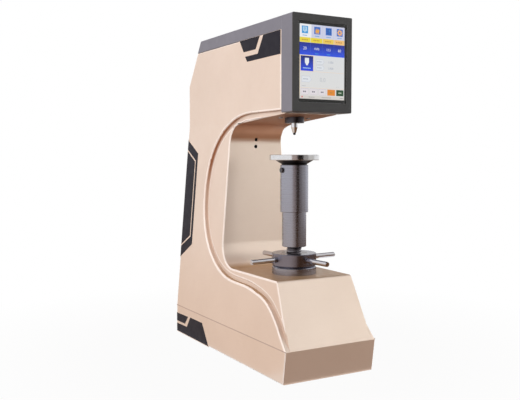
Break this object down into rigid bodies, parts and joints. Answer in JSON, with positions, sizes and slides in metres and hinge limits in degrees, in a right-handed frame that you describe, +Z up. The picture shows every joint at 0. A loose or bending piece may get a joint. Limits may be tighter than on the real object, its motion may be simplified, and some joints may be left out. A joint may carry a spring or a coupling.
{
  "type": "hardness tester",
  "caption": "Bench hardness tester with a cast C-shaped body, a hand-turned lifting screw with an anvil, a motor-driven indenter spindle and a tall touch display.",
  "frame": {"origin": "on the bench, under the middle of the overall box", "axes": "+Z up, -Y to the front with the display, +X to the right as seen from the front"},
  "size_m": [0.2464, 0.584, 0.8],
  "materials": {
    "casting_paint": "satin champagne paint with a fine grain",
    "grey_paint": "satin grey paint",
    "dark_panel": "dark satin",
    "touch_glass": "glossy, black round its edge",
    "display": "lit picture",
    "circuit_board": "solder mask",
    "sheet_metal": "satin grey paint",
    "galvanised": "satin",
    "gunmetal": "satin turned gunmetal",
    "black_steel": "black oxide",
    "polished_steel": "ground and polished",
    "machined_steel": "turned",
    "chrome": "mirror bright",
    "bronze": "turned",
    "machined_aluminium": "milled",
    "black_rubber": "matt",
    "black_plastic": "satin"
  },
  "bodies": {
    "frame": {"body_casting": "casting_paint", "top_cover": "grey_paint", "rear_cover": "sheet_metal", "base_plate": "galvanised", "levelling_feet": "black_rubber", "front_panel": "dark_panel", "display_housing": "grey_paint", "touch_glass": "touch_glass", "display_panel": "display", "control_board": "circuit_board", "board_spacers": "bronze", "wheel_seat": "gunmetal", "guide_bush": "bronze", "guide_key": "machined_steel", "thrust_race_lower": "polished_steel", "thrust_rollers": "polished_steel", "spindle_housing": "machined_steel", "housing_screws": "machined_steel", "lower_bushing": "bronze", "upper_bushing": "bronze", "timing_belt": "black_rubber", "drive_bridge": "machined_aluminium", "screw_bearing_outer": "polished_steel", "screw_bearing_rollers": "polished_steel", "bearing_retainer": "machined_steel", "load_motor": "black_plastic", "guide_rail": "polished_steel", "depth_reader": "black_plastic", "power_supply": "galvanised", "power_inlet": "black_plastic", "inlet_pins": "polished_steel", "switch_body": "black_plastic"},
    "wheel": {"wheel_hub": "gunmetal", "lifting_nut": "bronze", "thrust_race_upper": "polished_steel", "wheel_rod_1": "chrome", "wheel_rod_2": "chrome", "wheel_rod_3": "chrome", "wheel_rod_4": "chrome"},
    "screw": {"lifting_screw": "machined_steel", "upper_sleeve": "gunmetal", "sleeve_cap": "gunmetal", "anvil_seat": "black_steel", "flat_anvil": "polished_steel", "lock_screw": "machined_steel"},
    "lower_sleeve": {"lower_sleeve": "gunmetal"},
    "spindle": {"spindle": "gunmetal", "indenter": "chrome", "indenter_clamp_screw": "black_steel", "load_cell": "polished_steel", "crosshead": "machined_aluminium", "ball_nut": "machined_steel", "guide_carriage": "machined_steel", "depth_scale": "machined_aluminium"},
    "load_screw": {"ball_screw": "polished_steel", "driven_pulley": "machined_aluminium", "screw_bearing_inner": "polished_steel"},
    "motor_rotor": {"motor_shaft": "polished_steel", "drive_pulley": "machined_aluminium"},
    "rocker": {"power_rocker": "black_plastic"}
  },
  "joints": [
    {"name": "screw_lift", "type": "slide", "parent": "frame", "child": "screw", "axis": [0, 0, 1], "range_m": [-0.072, 0.04]},
    {"name": "wheel_turn", "type": "hinge", "parent": "frame", "child": "wheel", "pos_m": [0, -0.134, 0.2485], "axis": [0, 0, 1], "range_deg": [-2401, 4321]},
    {"name": "lower_sleeve_slide", "type": "slide", "parent": "frame", "child": "lower_sleeve", "axis": [0, 0, 1], "range_m": [-0.0141, 0.0079]},
    {"name": "spindle_slide", "type": "slide", "parent": "frame", "child": "spindle", "axis": [0, 0, 1], "range_m": [-0.005, 0]},
    {"name": "load_screw_turn", "type": "hinge", "parent": "frame", "child": "load_screw", "pos_m": [0, -0.134, 0.772], "axis": [0, 0, 1], "range_deg": [0, 361]},
    {"name": "motor_turn", "type": "hinge", "parent": "frame", "child": "motor_rotor", "pos_m": [0, -0.064, 0.772], "axis": [0, 0, 1], "range_deg": [0, 1083]},
    {"name": "rocker_tip", "type": "hinge", "parent": "frame", "child": "rocker", "pos_m": [0.03, 0.2845, 0.15], "axis": [1, 0, 0], "range_deg": [0, 20]}
  ],
  "couplings": [
    {"joint": "wheel_turn", "follows": "screw_lift", "rad_per_m": -1047.2},
    {"joint": "lower_sleeve_slide", "follows": "screw_lift", "ratio": 0.19444},
    {"joint": "load_screw_turn", "follows": "spindle_slide", "rad_per_m": -1256.6},
    {"joint": "motor_turn", "follows": "spindle_slide", "rad_per_m": -3769.9}
  ]
}
